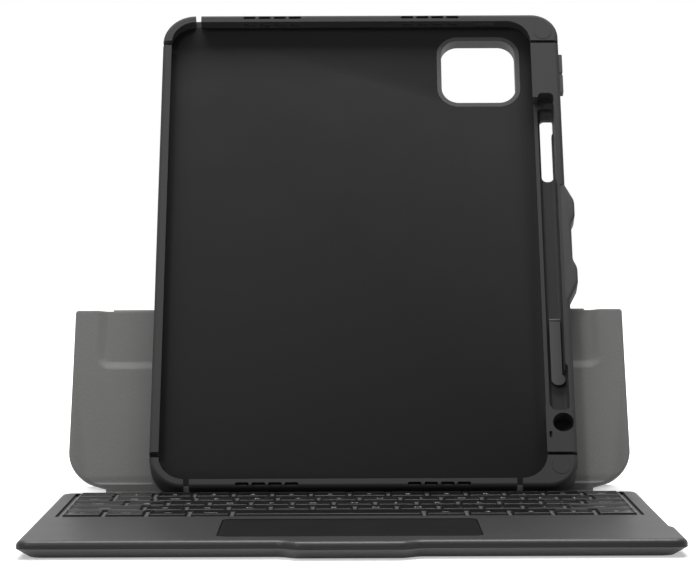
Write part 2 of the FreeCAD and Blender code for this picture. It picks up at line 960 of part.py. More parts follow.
def volume_blocks(index, clearance, inner, shoulder, outer):
    """A cap in the holder's side and the stem behind it."""
    middle = channel_high + volume_wall + volume_length / 2 + index * (volume_length + volume_gap)
    half = volume_length / 2 + clearance
    half_height = volume_height / 2 + clearance
    stem_half = volume_stem_length / 2 + clearance
    stem_half_height = volume_stem_height / 2 + clearance
    cap = block((shoulder, middle - half, device_middle - half_height),
                (outer, middle + half, device_middle + half_height))
    stem = block((inner, middle - stem_half, device_middle - stem_half_height),
                 (shoulder, middle + stem_half, device_middle + stem_half_height))
    return cap.fuse(stem)


def volume_button(index):
    """The stem reaches the device's own button."""
    inner = bay_right + button_clearance
    button = volume_blocks(index, 0, inner, case_right - volume_cap, case_right + volume_stand)
    return rounded_end(button, V(1, 0, 0), button_round)


def volume_passage(index):
    shoulder = case_right - volume_cap - button_travel - button_clearance
    return volume_blocks(index, button_clearance, bay_right - 1, shoulder, case_right + 1)


def pencil_tab():
    """A springy tongue on the channel's floor, hinged at its upper roll, with a wider round lower end."""
    left = channel_left + tab_inset
    right = left + tab_width
    bulb_right = left + tab_bulb_width
    bulb_high = tab_low + tab_bulb_length
    low = channel_floor + tab_clearance + (tab_roll_radius - tab_thickness / 2)
    corners = [
        (left, tab_low, tab_end_round),
        (bulb_right, tab_low, tab_end_round),
        (bulb_right, bulb_high - tab_bulb_slope / 2, tab_neck_round),
        (right, bulb_high + tab_bulb_slope / 2, tab_neck_round),
        (right, tab_high, 0),
        (left, tab_high, 0),
    ]
    tongue = plate(corners, low, low + tab_thickness)
    roll_start = V(left, tab_high, low + tab_thickness / 2)
    roll = Part.makeCylinder(tab_roll_radius, tab_width, roll_start, V(1, 0, 0))
    return tongue.fuse(roll).removeSplitter()


def camera_plan(grow, low, high):
    x = device_width / 2 - camera_side_inset
    y = device_height - camera_top_inset
    half = camera_window / 2 + grow
    return slab(x - half, y - half, x + half, y + half, low, high, camera_window_corner + grow)


def camera_guard():
    ring = camera_plan(camera_guard_wall, -camera_guard_stand, pad_top)
    return ring.cut(camera_plan(0, -camera_guard_stand - 1, pad_top + 1))


def case_magnets():
    bars = []
    for side in (-1, 1):
        left = side * case_magnet_spread / 2 - case_magnet_width / 2
        high_corner = (left + case_magnet_width, case_magnet_rise + case_magnet_height,
                       outer_panel_thickness + case_magnet_thickness)
        bars.append(block((left, case_magnet_rise, outer_panel_thickness), high_corner))
    return Part.makeCompound(bars)


def back_panels():
    """The outer tray, the magnets it holds, the inner panel and the soft pad under the device."""
    hole = camera_plan(camera_guard_wall + panel_fit, -2, pad_top + 1)
    outline = bay_corners(panel_fit)
    tray_top = outer_panel_thickness + magnet_space
    inner_top = tray_top + inner_panel_thickness
    tray = plate(outline, 0, tray_top)
    tray = tray.cut(plate(bay_corners(panel_fit + outer_panel_rim), outer_panel_thickness, tray_top + 1))
    tray = tray.fuse(camera_plan(camera_guard_wall + panel_fit + outer_panel_rim, 0, tray_top)).cut(hole)
    return {
        "outer_back_panel": tray,
        "case_magnets": case_magnets(),
        "inner_back_panel": plate(outline, tray_top, inner_top).cut(hole),
        "device_pad": plate(outline, inner_top, pad_top).cut(hole),
        "camera_guard": camera_guard(),
    }


def bumper_frame():
    cuts = rim_slits() + speaker_slots() + pencil_channel()
    cuts += [tip_hole(), notch(), side_grip_seat(), power_passage(), volume_passage(0), volume_passage(1)]
    cuts += discs(panel_fit / 2, case_thickness - disc_depth, case_thickness + 1)
    return bumper_body().cut(cuts)


def bumper_case():
    pieces = back_panels()
    pieces["bumper_frame"] = bumper_frame()
    disc_solids = discs(0, case_thickness - disc_depth, case_thickness + disc_stand)
    pieces["corner_discs"] = Part.makeCompound(disc_solids)
    pieces["side_grip"] = side_grip()
    pieces["pencil_tab"] = pencil_tab()
    pieces["power_button"] = power_button()
    pieces["volume_down_button"] = volume_button(0)
    pieces["volume_up_button"] = volume_button(1)
    return {name: on_case(shape) for name, shape in pieces.items()}


def keyboard_base():
    pieces = {
        "bottom_cover": bottom_cover(),
        "deck_shell": deck_shell(),
        "keyboard_plate": keyboard_plate(),
        "support_plate": key_layer(support_low, support_thickness),
        "key_circuit": key_layer(circuit_low, circuit_thickness),
        "dome_sheet": dome_sheet(),
        "touchpad": touchpad_plan(0, touchpad_bottom, touchpad_bottom + touchpad_thickness),
        "touchpad_bracket": touchpad_bracket(),
        "touchpad_switch": touchpad_switch(),
        "main_board": main_board(),
        "charge_port": charge_port(),
        "deck_magnets": deck_magnets(),
    }
    pieces.update(batteries())
    pieces.update(key_nodes())
    return pieces


def build():
    pieces = keyboard_base()
    pieces["spine_strip"] = spine_strip()
    pieces.update(lower_panel())
    pieces.update(upper_panel())
    pieces.update(bumper_case())
    os.makedirs("parts", exist_ok=True)
    for name, shape in pieces.items():
        shape.exportStep("parts/" + name + ".step")
        print(name, len(shape.Solids), "solids", round(shape.Volume), "mm3", shape.isValid())


build()
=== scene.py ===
# %% [markdown]
# A tablet keyboard case: a soft bumper case in portrait, leaning on a folding leather cover behind a
# flat keyboard base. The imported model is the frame, so every solid is already in place and at its real
# size, in metres. This lesson gives the solids their finishes and makes the pieces that need a finer form
# than a solid has: the leather boards and creases, the finger grip, the key caps with their lettering, and
# the lining.

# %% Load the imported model
import math

import bmesh
import bpy
from mathutils import Matrix, Vector


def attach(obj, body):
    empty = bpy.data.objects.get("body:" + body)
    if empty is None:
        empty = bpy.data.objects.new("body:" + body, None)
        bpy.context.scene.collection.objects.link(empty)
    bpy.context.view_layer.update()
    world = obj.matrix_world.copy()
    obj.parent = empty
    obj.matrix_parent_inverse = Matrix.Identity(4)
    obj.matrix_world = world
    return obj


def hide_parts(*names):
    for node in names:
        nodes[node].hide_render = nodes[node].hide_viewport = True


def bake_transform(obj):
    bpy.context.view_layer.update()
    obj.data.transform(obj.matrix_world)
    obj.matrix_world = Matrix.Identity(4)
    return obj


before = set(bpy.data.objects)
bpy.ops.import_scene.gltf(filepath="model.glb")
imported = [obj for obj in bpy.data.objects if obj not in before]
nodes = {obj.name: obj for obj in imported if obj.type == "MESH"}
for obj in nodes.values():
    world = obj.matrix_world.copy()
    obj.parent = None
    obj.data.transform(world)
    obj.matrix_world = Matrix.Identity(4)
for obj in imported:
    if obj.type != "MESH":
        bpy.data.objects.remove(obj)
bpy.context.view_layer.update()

scene = bpy.context.scene
mm = 0.001

# %% [markdown]
# The case is seen from in front, hardly above the deck, through a long lens, so the lines of the base
# almost don't meet. The camera's place, its lens and its three small turns were fitted to the edges of the
# bay, the base and the panel.

# %% Camera
camera_place = (-0.000394, -1.16547, 0.137342)
camera_swing = math.radians(-0.032)
camera_rise = math.radians(90.0 - 1.705)
camera_roll = math.radians(-0.208)
camera_data = bpy.data.cameras.new("camera")
camera_data.sensor_fit = "HORIZONTAL"
camera_data.sensor_width = 36.0
camera_data.lens = 143.3
camera_data.clip_end = 50.0
camera = bpy.data.objects.new("camera", camera_data)
scene.collection.objects.link(camera)
camera_turn = (
    Matrix.Rotation(camera_swing, 4, "Z")
    @ Matrix.Rotation(camera_rise, 4, "X")
    @ Matrix.Rotation(camera_roll, 4, "Z")
)
camera.matrix_world = Matrix.Translation(camera_place) @ camera_turn
scene.camera = camera
print("camera at", [round(v, 3) for v in camera.location])

# %% [markdown]
# The lamps. A soft one in front, above and to the left throws the case's short shadow to the right, on the
# panel behind it. A wider and stronger one hangs overhead and a little behind. It draws the bright lines
# along the front lip and along the slope that is pressed into the leather. Area lamps suit both, because
# a lamp with a large face has soft shadows.

# %% Lamps
def aim(location, target):
    """A matrix at location whose -Z axis points at target."""
    turn = (Vector(target) - Vector(location)).to_track_quat("-Z", "Y")
    return Matrix.Translation(location) @ turn.to_matrix().to_4x4()


def soft_light(name, location, target, width, height, power):
    data = bpy.data.lights.new(name, "AREA")
    data.shape = "RECTANGLE"
    data.size = width
    data.size_y = height
    data.energy = power
    light = bpy.data.objects.new(name, data)
    light.matrix_world = aim(location, target)
    scene.collection.objects.link(light)
    return light


key_light = soft_light(
    "key_light", location=(-0.85, -1.20, 1.55), target=(0.0, 0.1, 0.1),
    width=0.40, height=0.40, power=12.0,
)
top_light = soft_light(
    "top_light", location=(0.0, 0.50, 1.90), target=(0.0, 0.0, 0.05),
    width=1.60, height=0.60, power=54.0,
)
print("lamps:", key_light.name, top_light.name)

# %% [markdown]
# The white surroundings. The ground behind the object should be pure white, and glossy plastic should
# mirror it, but white light from every side would wash out the shadows. So the world is white for the
# rays that show it, and nearly dark for the rays that light the object.

# %% White surroundings
white = (1.0, 1.0, 1.0, 1.0)
fill_strength = 0.03
shown_strength = 1.0


def shown_rays(tree):
    """A socket that is 1 for the rays that show the white surroundings, and 0 for those that light."""
    path = tree.nodes.new("ShaderNodeLightPath")
    shown = path.outputs["Is Camera Ray"]
    for ray in ("Is Transmission Ray", "Is Glossy Ray"):
        either = tree.nodes.new("ShaderNodeMath")
        either.operation = "MAXIMUM"
        tree.links.new(shown, either.inputs[0])
        tree.links.new(path.outputs[ray], either.inputs[1])
        shown = either.outputs[0]
    return shown


def white_ground(tree, strength):
    ground = tree.nodes.new("ShaderNodeBackground")
    ground.inputs["Color"].default_value = white
    ground.inputs["Strength"].default_value = strength
    return ground.outputs[0]


world = bpy.data.worlds.new("studio")
scene.world = world
world.use_nodes = True
tree = world.node_tree
tree.nodes.clear()
mixed = tree.nodes.new("ShaderNodeMixShader")
tree.links.new(shown_rays(tree), mixed.inputs[0])
tree.links.new(white_ground(tree, fill_strength), mixed.inputs[1])
tree.links.new(white_ground(tree, shown_strength), mixed.inputs[2])
output = tree.nodes.new("ShaderNodeOutputWorld")
tree.links.new(mixed.outputs[0], output.inputs["Surface"])
scene.view_settings.view_transform = "Standard"
print("world:", world.name, "with", len(tree.nodes), "nodes")

# %% [markdown]
# The floor. It is a plain white sheet that keeps the short shadow round the base. It also glows for the
# rays that show it, more with distance, so that it meets the white surroundings without a line.

# %% Floor
floor_half_size = 6.0
floor_drop = 0.3 * mm
glow_range = {"From Min": 0.3, "From Max": 1.2, "To Min": 0.44, "To Max": 1.0}
floor_mesh = bpy.data.meshes.new("floor")
bm = bmesh.new()
floor_place = Matrix.Translation((0, 0, -floor_drop))
bmesh.ops.create_grid(bm, x_segments=1, y_segments=1, size=floor_half_size, matrix=floor_place)
bm.to_mesh(floor_mesh)
bm.free()
floor = bpy.data.objects.new("floor", floor_mesh)
scene.collection.objects.link(floor)

floor_finish = bpy.data.materials.new("floor_white")
floor_finish.use_nodes = True
tree = floor_finish.node_tree
floor_shader = tree.nodes["Principled BSDF"]
floor_shader.inputs["Base Color"].default_value = (0.86, 0.86, 0.86, 1.0)
floor_shader.inputs["Roughness"].default_value = 0.9
floor_shader.inputs["Specular IOR Level"].default_value = 0.0
floor_shader.inputs["Emission Color"].default_value = white
place = tree.nodes.new("ShaderNodeTexCoord")
away = tree.nodes.new("ShaderNodeVectorMath")
away.operation = "LENGTH"
tree.links.new(place.outputs["Object"], away.inputs[0])
fade = tree.nodes.new("ShaderNodeMapRange")
for socket, value in glow_range.items():
    fade.inputs[socket].default_value = value
tree.links.new(away.outputs["Value"], fade.inputs["Value"])
glow = tree.nodes.new("ShaderNodeMath")
glow.operation = "MULTIPLY"
tree.links.new(shown_rays(tree), glow.inputs[0])
tree.links.new(fade.outputs["Result"], glow.inputs[1])
tree.links.new(glow.outputs[0], floor_shader.inputs["Emission Strength"])
floor_mesh.materials.append(floor_finish)
print("floor of", 2 * floor_half_size, "m")

# %% [markdown]
# How a finish is made. Moulded plastic has a fine spark texture from the mould, soft plastic a coarser and
# duller one, and pressed leather a pebbled grain of smooth cells with creases between them. Each finish
# varies slowly in colour and in gloss, as handled surfaces do. Noise on the object's own coordinates gives
# this at the real scale, and needs no picture.

# %% A finish
drift_low, drift_high = 0.3, 0.7
gloss_spread = 0.04


def grain_texture(tree, kind, size):
    """A grain of cells or of fine specks, and the socket with its height."""
    if kind == "pebble":
        grain = tree.nodes.new("ShaderNodeTexVoronoi")
        grain.feature = "SMOOTH_F1"
        grain.inputs["Smoothness"].default_value = 0.35
        grain.inputs["Detail"].default_value = 1.0
        socket = grain.outputs["Distance"]
    else:
        grain = tree.nodes.new("ShaderNodeTexNoise")
        grain.inputs["Detail"].default_value = 2.0
        socket = grain.outputs["Fac"]
    grain.inputs["Scale"].default_value = 1.0 / size
    return grain, socket


def make_finish(name, colour, roughness, specular=0.5, grain="speck", size=0.4 * mm, depth=0.01 * mm,
                spread=0.08, patch=30.0 * mm):
    """A finish with grain of one size and depth, whose colour and gloss drift over patches."""
    finish = bpy.data.materials.new(name)
    finish.use_nodes = True
    tree = finish.node_tree
    shader = tree.nodes["Principled BSDF"]
    shader.inputs["Specular IOR Level"].default_value = specular
    place = tree.nodes.new("ShaderNodeTexCoord")
    drift = tree.nodes.new("ShaderNodeTexNoise")
    drift.inputs["Scale"].default_value = 1.0 / patch
    drift.inputs["Detail"].default_value = 3.0
    tree.links.new(place.outputs["Object"], drift.inputs["Vector"])
    tint = tree.nodes.new("ShaderNodeValToRGB")
    darker, lighter = tint.color_ramp.elements
    darker.position = drift_low
    lighter.position = drift_high
    darker.color = [c * (1 - spread) for c in colour] + [1.0]
    lighter.color = [c * (1 + spread) for c in colour] + [1.0]
    tree.links.new(drift.outputs["Fac"], tint.inputs["Fac"])
    tree.links.new(tint.outputs["Color"], shader.inputs["Base Color"])
    gloss = tree.nodes.new("ShaderNodeMapRange")
    gloss.inputs["From Min"].default_value = drift_low
    gloss.inputs["From Max"].default_value = drift_high
    gloss.inputs["To Min"].default_value = roughness * (1 - gloss_spread)
    gloss.inputs["To Max"].default_value = roughness * (1 + gloss_spread)
    tree.links.new(drift.outputs["Fac"], gloss.inputs["Value"])
    tree.links.new(gloss.outputs["Result"], shader.inputs["Roughness"])
    texture, height = grain_texture(tree, grain, size)
    tree.links.new(place.outputs["Object"], texture.inputs["Vector"])
    bump = tree.nodes.new("ShaderNodeBump")
    bump.inputs["Strength"].default_value = 1.0
    bump.inputs["Distance"].default_value = depth
    tree.links.new(height, bump.inputs["Height"])
    tree.links.new(bump.outputs["Normal"], shader.inputs["Normal"])
    return finish


print("a finish drifts in gloss by", gloss_spread)

# %% [markdown]
# The finishes of the cover and the base. The leather is grey and dull, with a grain of about 1 mm. The
# deck and the web between the keys are dark plastic with a satin gloss, the keys and the touchpad are
# smoother and almost black, and the tray under the deck is a paler, duller plastic.

# %% Finishes of the cover and the base
leather = make_finish(
    "leather", (0.141, 0.140, 0.138), 0.66, 0.25,
    grain="pebble", size=1.0 * mm, depth=0.05 * mm, spread=0.04,
)
deck_plastic = make_finish(
    "deck_plastic", (0.012, 0.012, 0.0124), 0.43, 0.28,
    size=0.35 * mm, depth=0.006 * mm, spread=0.04,
)
web_plastic = make_finish(
    "web_plastic", (0.042, 0.042, 0.043), 0.50, 0.4,
    size=0.35 * mm, depth=0.006 * mm, spread=0.04,
)
cover_plastic = make_finish(
    "cover_plastic", (0.088, 0.088, 0.089), 0.55, 0.3,
    size=0.35 * mm, depth=0.010 * mm, spread=0.04,
)
keycap_plastic = make_finish(
    "keycap_plastic", (0.003, 0.003, 0.0032), 0.20, 0.25,
    size=0.3 * mm, depth=0.003 * mm, spread=0.06, patch=12.0 * mm,
)
legend_ink = make_finish(
    "legend_ink", (0.30, 0.30, 0.30), 0.6,
    size=0.2 * mm, depth=0.004 * mm, spread=0.05,
)
touchpad_face = make_finish(
    "touchpad_face", (0.003, 0.003, 0.0032), 0.26, 0.4,
    size=0.25 * mm, depth=0.002 * mm, spread=0.05,
)
print(len(bpy.data.materials), "materials so far")

# %% [markdown]
# The finishes of the bumper case. It is moulded in a soft, dull plastic. The buttons, the grip and the
# tongue in the channel are a little paler, as rubber is, the back is a harder plastic, and the bay has a
# dark cloth.

# %% Finishes of the bumper case
bumper_soft = make_finish(
    "bumper_soft", (0.031, 0.031, 0.032), 0.66, 0.2,
    size=0.4 * mm, depth=0.012 * mm, spread=0.05,
)
button_soft = make_finish(
    "button_soft", (0.045, 0.045, 0.046), 0.60, 0.25,
    size=0.3 * mm, depth=0.010 * mm, spread=0.05,
)
grip_rubber = make_finish(
    "grip_rubber", (0.042, 0.042, 0.042), 0.66, 0.25,
    size=0.4 * mm, depth=0.012 * mm, spread=0.05,
)
tab_rubber = make_finish(
    "tab_rubber", (0.057, 0.057, 0.058), 0.60, 0.25,
    size=0.4 * mm, depth=0.012 * mm, spread=0.05,
)
back_plastic = make_finish(
    "back_plastic", (0.045, 0.045, 0.046), 0.55, 0.3,
    size=0.4 * mm, depth=0.015 * mm, spread=0.05,
)
lining_cloth = make_finish(
    "lining_cloth", (0.014, 0.014, 0.015), 0.85, 0.15,
    size=0.5 * mm, depth=0.05 * mm, spread=0.12, patch=20.0 * mm,
)
print(len(bpy.data.materials), "materials so far")

# %% [markdown]
# The finishes inside: plain plastic, the green of circuit boards, the dark wrap of the cells, the card in
# the panels, and bare steel. They show only where the part is opened, so they are simple.

# %% Finishes inside
inside_plastic = make_finish("inside_plastic", (0.030, 0.030, 0.031), 0.6)
board_green = make_finish("board_green", (0.012, 0.060, 0.030), 0.45, size=0.6 * mm)
wrap_dark = make_finish("wrap_dark", (0.020, 0.021, 0.024), 0.35, size=1.0 * mm)
card_grey = make_finish("card_grey", (0.23, 0.22, 0.20), 0.85, depth=0.03 * mm)
steel = make_finish("steel", (0.56, 0.56, 0.57), 0.30, size=0.3 * mm, depth=0.004 * mm, spread=0.05)
steel.node_tree.nodes["Principled BSDF"].inputs["Metallic"].default_value = 1.0
print(len(bpy.data.materials), "materials")

# %% [markdown]
# Most solids already have the right shape: the mouldings of the base and of the bumper case, with their
# slits, slots and channel. They stay as they are and take a finish.

# %% Dress the solids
dress = {
    "bottom_cover": cover_plastic, "deck_shell": deck_plastic, "keyboard_plate": web_plastic,
    "support_plate": steel, "key_circuit": board_green, "dome_sheet": inside_plastic,
    "touchpad_bracket": inside_plastic, "touchpad_switch": inside_plastic, "main_board": board_green,
    "charge_port": steel, "deck_magnets": steel, "battery_left": wrap_dark, "battery_right": wrap_dark,
    "lower_panel_card": card_grey, "lower_panel_magnets": steel,
    "upper_panel_card": card_grey, "upper_panel_magnets": steel,
    "bumper_frame": bumper_soft, "outer_back_panel": back_plastic, "inner_back_panel": back_plastic,
    "case_magnets": steel, "camera_guard": back_plastic, "corner_discs": bumper_soft,
    "touchpad": touchpad_face, "pencil_tab": tab_rubber, "power_button": button_soft,
    "volume_up_button": button_soft, "volume_down_button": button_soft,
}
for name, finish in dress.items():
    for slot in nodes[name].material_slots:
        slot.material = finish
print(len(dress), "solids dressed")

# %% [markdown]
# Small helpers. A finished piece has its place in its mesh, smooth faces and sharp edges where it turns
# by more than 35 degrees, and, when a body is named, moves with that body of the frame. The others round
# edges, find the sharp ones, cut a mesh where it will be pressed, and ease a slope in and out.

# %% Helpers
hair = 1e-6
facing = 0.9


def finish_piece(name, bm, finish, body=None, sharp=35.0):
    bmesh.ops.recalc_face_normals(bm, faces=bm.faces[:])
    mesh = bpy.data.meshes.new(name)
    bm.to_mesh(mesh)
    bm.free()
    mesh.materials.append(finish)
    mesh.shade_smooth()
    mesh.set_sharp_from_angle(angle=math.radians(sharp))
    piece = bpy.data.objects.new(name, mesh)
    scene.collection.objects.link(piece)
    if body:
        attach(piece, body)
    return piece


def round_off(bm, geometry, radius, segments, affect):
    bmesh.ops.bevel(
        bm, geom=geometry, offset=radius, offset_type="OFFSET", segments=segments, profile=0.5,
        affect=affect, material=-1,
    )


def round_edges(bm, edges, radius, segments):
    round_off(bm, edges, radius, segments, affect="EDGES")


def sharp_edges(bm, degrees=60):
    bm.normal_update()
    limit = math.radians(degrees)
    return [e for e in bm.edges if len(e.link_faces) == 2 and e.calc_face_angle() > limit]


def rise_of(edge):
    """How far an edge rises along Z, which tells an upright edge from a level one."""
    return abs(edge.verts[0].co.z - edge.verts[1].co.z)


def cut_across(bm, axis, places):
    """Cuts the whole mesh by planes square to an axis, so that it can be pressed there."""
    normal = Vector((axis == "X", axis == "Y", axis == "Z"))
    for place in places:
        geometry = bm.verts[:] + bm.edges[:] + bm.faces[:]
        bmesh.ops.bisect_plane(bm, geom=geometry, plane_co=normal * place, plane_no=normal)


def ease(share):
    """From 0 to 1 with a soft start and end."""
    share = min(max(share, 0.0), 1.0)
    return share * share * (3.0 - 2.0 * share)


print("half of a slope eases to", ease(0.5))

# %% [markdown]
# The two panels of the cover. On the real one a card is wrapped in pressed leather, so each is a stiff
# board with rounded edges and corners. The lower board's edge slants up beside the neck and reaches down
# over it. A cube is cut, rounded and given a narrow band of faces along its rim, which keeps the shading
# of the flat part even. Sizes here are on the panel: across, up from the crease, out.

# %% Leather board
lean = math.radians(59.5)
leg_turn = math.radians(-67.162)
crease = Vector((0.0, 0.10175, 0.0009))
fold = Vector((0.0, 0.153565, 0.085219))
on_panel = Matrix.Translation(crease) @ Matrix.Rotation(lean, 4, "X")
on_leg = Matrix.Translation(fold) @ Matrix.Rotation(leg_turn, 4, "X")
board_half_width = 129.2 * mm
board_thickness = 3.4 * mm
board_low = 7.3 * mm
corner_steps = 10
rim_round = 0.75 * mm
rim_band = 1.4 * mm
strip_half_width = 111.5 * mm
neck_overlap = 2.3 * mm
neck_step = 0.2 * mm


def shape_low_edge(bm, low, flare):
    """Raises the lower edge by flare beside the strip, and lowers it over the neck."""
    cut_across(bm, "X", [-strip_half_width, strip_half_width])
    edge = [v for v in bm.verts if v.co.y < low + hair]
    beside = [v for v in edge if abs(v.co.x) > strip_half_width + hair]
    bmesh.ops.translate(bm, verts=beside, vec=(0, flare, 0))
    cut_across(bm, "X", [neck_step - strip_half_width, strip_half_width - neck_step])
    edge = [v for v in bm.verts if v.co.y < low + hair]
    over_neck = [v for v in edge if abs(v.co.x) < strip_half_width - neck_step / 2]
    bmesh.ops.translate(bm, verts=over_neck, vec=(0, -neck_overlap, 0))


def leather_board(low, high, low_corner, high_corner, flare=0.0):
    """A board with rounded corners and edges, whose lower corners rise by flare beside the strip."""
    bm = bmesh.new()
    size = Matrix.Diagonal((2 * board_half_width, high - low, board_thickness, 1.0))
    middle = Matrix.Translation((0, (low + high) / 2, 0))
    bmesh.ops.create_cube(bm, size=1.0, matrix=middle @ size)
    if flare:
        shape_low_edge(bm, low, flare)
    for row, radius in ((low + flare, low_corner), (high, high_corner)):
        upright = [e for e in bm.edges if rise_of(e) > hair]
        outer = [e for e in upright if abs(e.verts[0].co.x) > board_half_width - hair]
        corners = [e for e in outer if abs(e.verts[0].co.y - row) < hair]
        round_edges(bm, corners, radius, corner_steps)
    rim = [e for e in sharp_edges(bm) if rise_of(e) < hair]
    round_edges(bm, rim, rim_round, 3)
    cut_across(bm, "X", [rim_band - board_half_width, board_half_width - rim_band])
    cut_across(bm, "Y", [high - rim_band])
    return bm


print("boards", round(2 * board_half_width / mm, 1), "mm wide and", board_thickness / mm, "mm thick")

# %% [markdown]
# What is pressed into the boards. Beside the fold a wide field lies lower, with a soft slope round its
# rounded outline. Above the neck the lower board has a shallow hollow, then a short rise, and from there
# it slopes down to the neck. A cut wherever a slope starts, ends or bends, and then lowering the front
# between the cuts, gives the same soft forms as a press does.

# %% Pressed forms
press_depth = 1.35 * mm
press_half_width = 118.6 * mm
press_start = 67.95 * mm
press_slope = 4.6 * mm
press_corner = 7.0 * mm
press_even = 0.6
press_steps = [p * mm for p in (-0.4, 0.0, 0.45, 0.9, 1.6, 2.3, 3.0, 3.7, 4.15, 4.6, 5.0, 7.0)]
press_sides = [press_half_width - p for p in press_steps]
hollow_start = 13.0 * mm
hollow_end = 9.7 * mm
hollow_depth = 0.30 * mm
crest = 8.7 * mm
neck_foot = board_low - neck_overlap
neck_drop = 0.95 * mm
hinge_rows = [p * mm for p in (6.9, 8.5, 8.7, 8.9, 9.5, 9.7, 9.9, 10.6, 11.6, 13.0, 13.4)]


def field_depth(across, along):
    """How deep the pressed field is, from the way inside its rounded outline."""
    side = press_half_width - abs(across)
    if side < press_corner and along < press_corner:
        inside = press_corner - math.hypot(press_corner - side, press_corner - along)
    else:
        inside = min(side, along)
    share = min(max(inside / press_slope, 0.0), 1.0)
    return press_depth * (press_even * share + (1 - press_even) * ease(share))


def hinge_depth(along):
    """A shallow hollow, a short rise below it, and a slope down to the neck."""
    if along > hollow_end:
        return hollow_depth * ease((hollow_start - along) / (hollow_start - hollow_end))
    if along > crest:
        return hollow_depth * (along - crest) / (hollow_end - crest)
    return neck_drop * min((crest - along) / (crest - neck_foot), 1.0)


def press_front(bm, depth_at):
    """Lowers the front of a board by what depth_at(across, along) gives."""
    for vert in bm.verts:
        if vert.co.z > 0:
            front = min(vert.co.z / (board_thickness / 2), 1.0)
            vert.co.z -= front * depth_at(vert.co.x, vert.co.y)


print("a field pressed", round(press_depth / mm, 2), "mm deep")

# %% [markdown]
# The lower board stands behind the case and carries it. Its pressed field reaches up to the fold.

# %% Lower board
bm = leather_board(
    low=board_low, high=99.4 * mm, low_corner=12.5 * mm, high_corner=1.5 * mm, flare=5.6 * mm,
)
cut_across(bm, "X", [-p for p in press_sides] + press_sides)
cut_across(bm, "Y", [press_start + p for p in press_steps] + hinge_rows)
press_front(bm, lambda across, along: field_depth(across, along - press_start))
press_front(bm, lambda across, along: hinge_depth(along))
bmesh.ops.transform(bm, matrix=on_panel, verts=bm.verts)
lower_board = finish_piece("lower_panel_leather", bm, leather, "lower_panel")
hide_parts("lower_panel_skin", "lower_panel_lining")
print("lower board of", len(lower_board.data.polygons), "faces")

# %% [markdown]
# The upper board is folded back and is the leg. Its field starts at the fold too, because one press makes
# both fields while the cover lies flat. So it is made like the lower one, with its steps measured from the
# other end.

# %% Upper board
leg_start = 1.2 * mm
leg_end = 92.8 * mm
leg_gap = 0.15 * mm
leg_press_end = leg_start + 30.4 * mm
leg_middle = Matrix.Translation((0, 0, leg_gap + board_thickness / 2))
bm = leather_board(low=leg_start, high=leg_end, low_corner=1.5 * mm, high_corner=10.0 * mm)
cut_across(bm, "X", [-p for p in press_sides] + press_sides)
cut_across(bm, "Y", [leg_press_end - p for p in press_steps])
press_front(bm, lambda across, along: field_depth(across, leg_press_end - along))
bmesh.ops.transform(bm, matrix=on_leg @ leg_middle, verts=bm.verts)
upper_board = finish_piece("upper_panel_leather", bm, leather, "upper_panel")
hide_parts("upper_panel_skin", "upper_panel_lining")
print("upper board of", len(upper_board.data.polygons), "faces")

# %% [markdown]
# The creases are the same leather without a card: a strip from the base to the spine, one that curves up
# from the spine into the lower panel, and a loop over the fold from the lower panel to the leg. A strip
# grows from its cut end by straight runs and by turns about X, as leather is led round an edge.

# %% Leather strip
strip_round = 0.3 * mm


class Strip:
    """A strip of leather that grows from a cut end, in the plane across X."""

    def __init__(self, start, heading, thickness):
        self.bm = bmesh.new()
        self.heading = heading
        self.length = 0.0
        self.at = Vector(start)
        size = Matrix.Diagonal((2 * strip_half_width, 1.0, thickness, 1.0))
        upright = Matrix.Rotation(math.radians(90), 4, "X")
        cut_end = Matrix.Translation(self.at) @ Matrix.Rotation(heading, 4, "X") @ size @ upright
        made = bmesh.ops.create_grid(self.bm, x_segments=1, y_segments=1, size=0.5, matrix=cut_end)
        self.end = list({f for v in made["verts"] for f in v.link_faces})

    def ahead(self):
        return Vector((0.0, math.cos(self.heading), math.sin(self.heading)))

    def grow(self):
        made = bmesh.ops.extrude_face_region(self.bm, geom=self.end)["geom"]
        bmesh.ops.delete(self.bm, geom=[f for f in self.end if f.is_valid], context="FACES_ONLY")
        self.end = [g for g in made if isinstance(g, bmesh.types.BMFace)]
        return [g for g in made if isinstance(g, bmesh.types.BMVert)]

    def run(self, length):
        bmesh.ops.translate(self.bm, verts=self.grow(), vec=self.ahead() * length)
        self.at += self.ahead() * length
        self.length += length
        return self

    def turn(self, radius, angle, steps):
        side = math.copysign(1.0, angle)
        across = Vector((0.0, -math.sin(self.heading), math.cos(self.heading)))
        centre = self.at + across * radius * side
        step = Matrix.Rotation(angle / steps, 3, "X")
        for _ in range(steps):
            bmesh.ops.rotate(self.bm, verts=self.grow(), cent=centre, matrix=step)
        self.at = centre + Matrix.Rotation(angle, 3, "X") @ (self.at - centre)
        self.heading += angle
        self.length += radius * abs(angle)
        return self

    def piece(self, name, replaced, rests):
        bmesh.ops.holes_fill(self.bm, edges=[e for e in self.bm.edges if e.is_boundary])
        bmesh.ops.recalc_face_normals(self.bm, faces=self.bm.faces[:])
        round_edges(self.bm, sharp_edges(self.bm), strip_round, 2)
        made = finish_piece(name, self.bm, leather)
        if replaced:
            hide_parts(*replaced)
        return made


print("strips", round(2 * strip_half_width / mm, 1), "mm wide")
